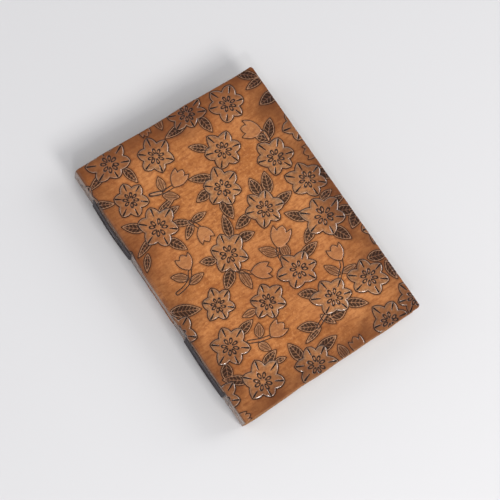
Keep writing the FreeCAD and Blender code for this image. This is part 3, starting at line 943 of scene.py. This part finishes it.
def paper_material():
    """Uncoated cotton paper with fibres, a few specks and a soft cockle."""
    n = Nodes("paper_handmade")
    where = n.attribute("flat", "Vector")
    cloud = n.noise(where, 60, 4, 0.6)
    fibre = n.noise(n.scaled(where, 1, 3.5, 1), 700, 5, 0.7)
    speck = n.cells(where, 320)
    colour = n.mix(n.remap(cloud, 0.3, 0.7, 0, 1), (0.735, 0.665, 0.525), (0.775, 0.712, 0.580))
    colour = n.mix(n.remap(fibre, 0.45, 0.75, 0, 0.35), colour, (0.60, 0.50, 0.34))
    colour = n.mix(n.remap(speck, 0.045, 0.075, 0.7, 0), colour, (0.33, 0.20, 0.09))
    normal = n.bump(fibre, 0.00008, 0.6, n.bump(cloud, 0.0012, 0.35))
    return n.finish(colour, n.remap(fibre, 0, 1, 0.82, 0.96), normal)


def cord_material():
    """Charcoal waxed cord: fibres along the twist, slightly greasy."""
    n = Nodes("cord_waxed")
    where = n.attribute("flat", "Vector")
    fibre = n.noise(n.scaled(where, 5, 0.6, 1), 2400, 3, 0.6)
    bloom = n.noise(where, 300, 3, 0.6)
    colour = n.mix(n.remap(fibre, 0.3, 0.7, 0, 1), (0.018, 0.015, 0.018), (0.048, 0.040, 0.046))
    colour = n.mix(n.remap(bloom, 0.55, 0.75, 0, 0.5), colour, (0.11, 0.095, 0.095))
    normal = n.bump(fibre, 0.00008, 0.7)
    return n.finish(colour, n.remap(bloom, 0.3, 0.7, 0.42, 0.62), normal)


LEATHER_LOOK = leather_material()
PAPER_LOOK = paper_material()
CORD_LOOK = cord_material()


# ---------------- leather


def make_leather():
    """The hide's five pieces, each spanning one joint."""
    hide = make_hide()
    cuts = [flat_place(z) for z in STRIP_MIDDLES]

    def dress(piece, nodes):
        finish_mesh(piece, LEATHER_LOOK)
        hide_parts(*nodes)

    back = leather_piece("back_leather", hide, BACK_END, cuts[0])
    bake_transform(back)
    dress(back, ["back_cover"])
    for k in range(1, GATHERINGS):
        strip = leather_piece(f"spine_leather_{k}{k + 1}", hide, cuts[k - 1], cuts[k])
        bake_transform(strip)
        dress(strip, [f"spine_strip_{k}"] + ([f"spine_strip_{k + 1}"] if k == GATHERINGS - 1 else []))
    front = leather_piece("front_leather", hide, cuts[-1], FORE_X)
    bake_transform(front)
    dress(front, ["front_cover"])


# ---------------- paper

PAPER = 0.15            # thickness of a sheet
SHEET_GAP = 0.02        # between a sheet and its CAD solid's face
SHEET_ROWS = 74         # points along a sheet's height
DECKLE_SPAN = 86        # millimetres of ripple from the middle of an edge to its end


def make_sheet(k, i):
    """One folded sheet: two arms from its fold, with deckled edges all round."""
    (left, tail, low), (right, head, high) = box_mm(f"sheet_{k}_{i}")
    middle, radius = (low + high) / 2, (high - low) / 2
    fold_x = left + radius
    outer = radius - SHEET_GAP
    seed = 100 * k + 10 * i
    arm = np.concatenate([np.linspace(0, 0.86, 16)[1:], np.linspace(0.86, 1, 7)[1:]])
    bends = np.linspace(-math.pi / 2, math.pi / 2, 9)
    share = np.concatenate([-arm[::-1], np.zeros(len(bends)), arm])
    side = np.pad(np.sin(bends), len(arm), mode="edge")
    back = np.pad(-np.cos(bends), len(arm))
    share, row = np.meshgrid(share, np.linspace(-1, 1, SHEET_ROWS))
    reach = right - fold_x - 0.5 + 0.10 * i         # the inner sheets stand out
    upper = share > 0
    edge = 0.42 * ripple(row * DECKLE_SPAN, np.where(upper, 5.0, 60.0), 9, seed)
    edge = edge + 0.3 * ripple(row * DECKLE_SPAN, 0 * row, 31, seed + 1)
    along = np.abs(share) * (reach + edge * fade(np.abs(share), 0.5, 1))
    half = (head - tail) / 2
    ragged = 0.40 * ripple(along, np.where(upper, 3.0, 50.0) * np.sign(row), 8, seed + 2)
    y = row * half + np.sign(row) * (ragged - 0.35) * fade(np.abs(row), 0.8, 1)

    def face(r):
        x = fold_x + along + back * r
        z = middle + side * r + 0 * y
        return np.stack([x, y, z], -1).reshape(-1, 3)

    points = np.concatenate([face(outer), face(outer - PAPER)]) * MM
    count = share.size
    index = np.arange(count).reshape(share.shape)
    quads, ring = grid_quads(index), grid_border(index)
    faces = np.concatenate([quads, quads[:, ::-1] + count, ring_quads(ring, ring + count)])
    sheet = add_mesh(f"page_{k}_{i}", points, faces.ravel(), [4] * len(faces))
    flat = np.stack([np.sign(share) * along + 200 * i, y, 0 * y + 30.0 * k], -1).reshape(-1, 3) * MM
    set_values(sheet.data, "flat", np.concatenate([flat, flat + (0, 0, 0.5 * MM)]))
    finish_mesh(sheet, PAPER_LOOK)
    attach(sheet, f"gathering_{k}")
    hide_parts(f"sheet_{k}_{i}")


# ---------------- sewing

def rounded_path(points, radius, step):
    """Polyline with its corners rounded, sampled at an even step."""
    points = [np.array(point, float) for point in points]
    path = [points[0]]
    for before, here, after in zip(points, points[1:], points[2:]):
        into = (before - here) / np.linalg.norm(before - here) * radius
        out = (after - here) / np.linalg.norm(after - here) * radius
        for t in np.linspace(0, 1, 9):
            path.append((1 - t) ** 2 * (here + into) + 2 * t * (1 - t) * here + t ** 2 * (here + out))
    path = np.array(path + [points[-1]])
    length = np.concatenate([[0], np.cumsum(np.linalg.norm(np.diff(path, axis=0), axis=1))])
    places = np.linspace(0, length[-1], int(length[-1] / step) + 1)
    return np.stack([np.interp(places, length, path[:, axis]) for axis in (0, 1)], -1), places


AROUND = 20             # points round a cord
CORD_STEP = 0.3         # between rings of points along it
CORD_BEND = 0.85        # radius of its bends
LAY = 5.2               # length of one turn of its plies
PLIES = 3
KNOT = 1.4              # how much wider it is at a knot


def make_cord(k):
    """Twisted cord of one gathering: two long stitches outside, pressed flat inside."""
    node = f"thread_{k}"
    (outside, _, low_z), (inside, _, high_z) = box_mm(node)
    middle = (low_z + high_z) / 2
    radius = (high_z - low_z) / 2
    run_x = outside + radius
    (sheet_left, _, sheet_low), (_, _, sheet_high) = box_mm(f"sheet_{k}_1")
    fold_x = sheet_left + (sheet_high - sheet_low) / 2
    end, near = HOLES[0], HOLES[1]
    turns = [
        (inside, end), (run_x, end), (run_x, near), (fold_x + 0.3, near),
        (fold_x + 0.3, -near), (run_x, -near), (run_x, -end), (inside, -end),
    ]
    path, places = rounded_path(turns, CORD_BEND, CORD_STEP)
    rng = np.random.default_rng(k)
    x, y = path.T
    between = np.clip((end - np.abs(y)) / (end - near), 0, 1)
    free = 1.0 if k in (1, GATHERINGS) else 0.25    # the middle cords come close in the open book
    slack = free * np.where(y > 0, rng.uniform(0.6, 0.8), rng.uniform(0.2, 0.4))
    outer = fade(x, SPINE_X + 0.4, SPINE_X - 0.3)
    x = x - outer * slack * np.sin(math.pi * between) ** 1.2
    z = middle + outer * 0.25 * free * np.sin(math.pi * between) * np.sin(2.3 * between + k)
    tangent = np.gradient(np.stack([x, y], -1), axis=0)
    tangent /= np.linalg.norm(tangent, axis=1)[:, None]
    normal = np.stack([tangent[:, 1], -tangent[:, 0]], -1)
    pressed = fade(x, fold_x - 1.2, fold_x - 0.1)
    knot = 1 + KNOT * fade(x, fold_x + 0.6, inside)
    angle = np.linspace(0, 2 * math.pi, AROUND, endpoint=False)
    twist = places[:, None] * 2 * math.pi / LAY
    ply = 1 - 0.10 * (1 - np.abs(np.cos(PLIES / 2 * (angle[None, :] - twist))))
    size = radius * ply * (1 + 0.015 * rng.standard_normal((len(x), 1)))
    wide = size * np.cos(angle) * knot[:, None] * (1 + 0.25 * pressed[:, None])
    tall = size * np.sin(angle) * (1 - 0.80 * pressed[:, None])
    points = np.stack([x[:, None] + normal[:, :1] * wide, y[:, None] + normal[:, 1:] * wide,
                       z[:, None] + tall], -1).reshape(-1, 3)
    index = np.arange(len(x) * AROUND).reshape(len(x), AROUND)
    quads = grid_quads(np.column_stack([index, index[:, 0]]))
    faces = np.concatenate([quads.ravel(), index[0][::-1], index[-1]])
    counts = [4] * len(quads) + [AROUND, AROUND]
    cord = add_mesh(f"cord_{k}", points * MM, faces, counts)
    unrolled = (angle[None, :] - twist) * radius
    flat = np.stack(np.broadcast_arrays(unrolled, places[:, None], 7.0 * k), -1)
    set_values(cord.data, "flat", flat.reshape(-1, 3) * MM)
    finish_mesh(cord, CORD_LOOK, sharp=80)
    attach(cord, f"gathering_{k}")
    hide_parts(node)


make_leather()
for gathering in range(1, GATHERINGS + 1):
    for number in range(1, SHEETS + 1):
        make_sheet(gathering, number)
    make_cord(gathering)
